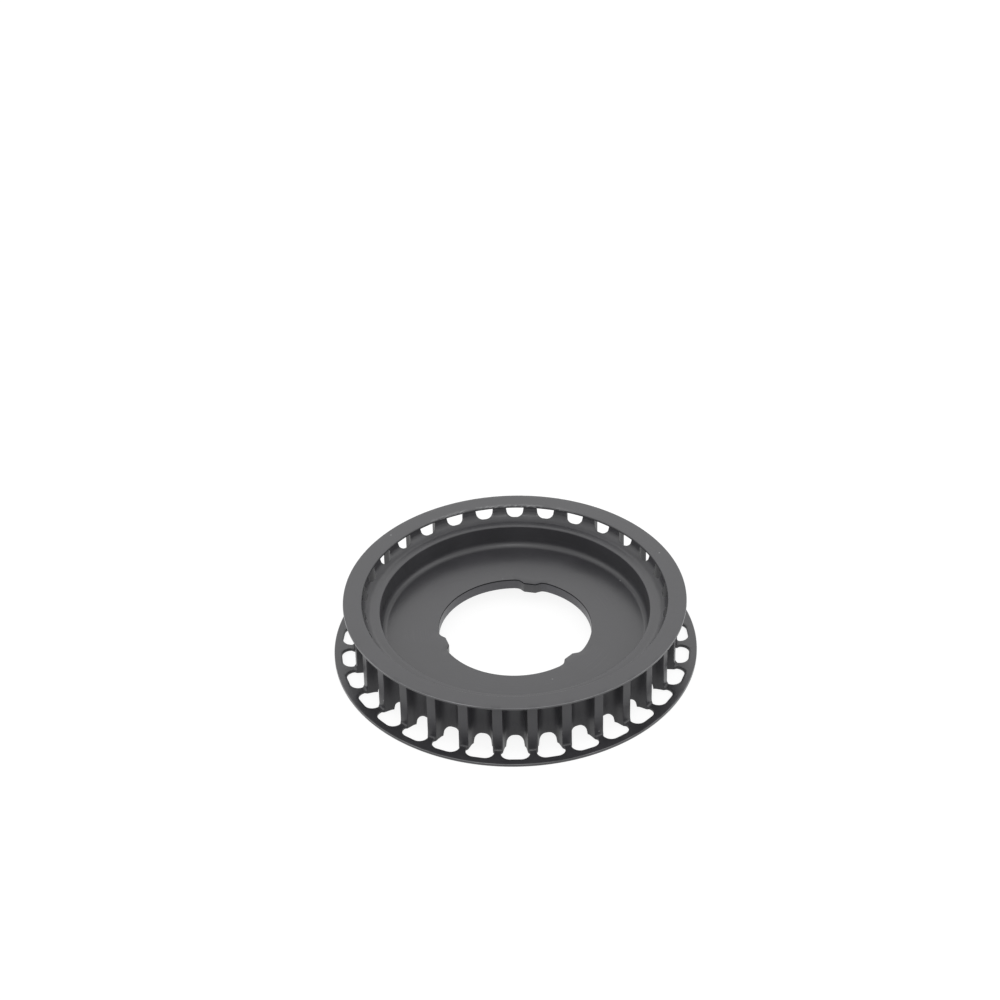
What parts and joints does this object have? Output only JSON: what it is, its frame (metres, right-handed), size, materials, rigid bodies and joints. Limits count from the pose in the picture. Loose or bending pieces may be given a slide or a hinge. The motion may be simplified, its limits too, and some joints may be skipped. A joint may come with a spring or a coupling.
{
  "type": "belt pulley",
  "caption": "Toothed belt pulley for a bicycle hub: flanged ring with windows between the teeth, a stepped cup and a lugged bore that slides onto a hub driver.",
  "frame": {"origin": "on the pulley's axis, in the plane of the large flange's outer face, which it lies on", "axes": "+Z along the axis from the large flange to the small flange, +X through the middle of one bore lug and of one tooth space"},
  "size_m": [0.0842, 0.0842, 0.0147],
  "materials": {
    "black_anodised": "black hard-anodised, satin"
  },
  "bodies": {
    "root": {"belt_pulley": "black_anodised"}
  },
  "joints": []
}
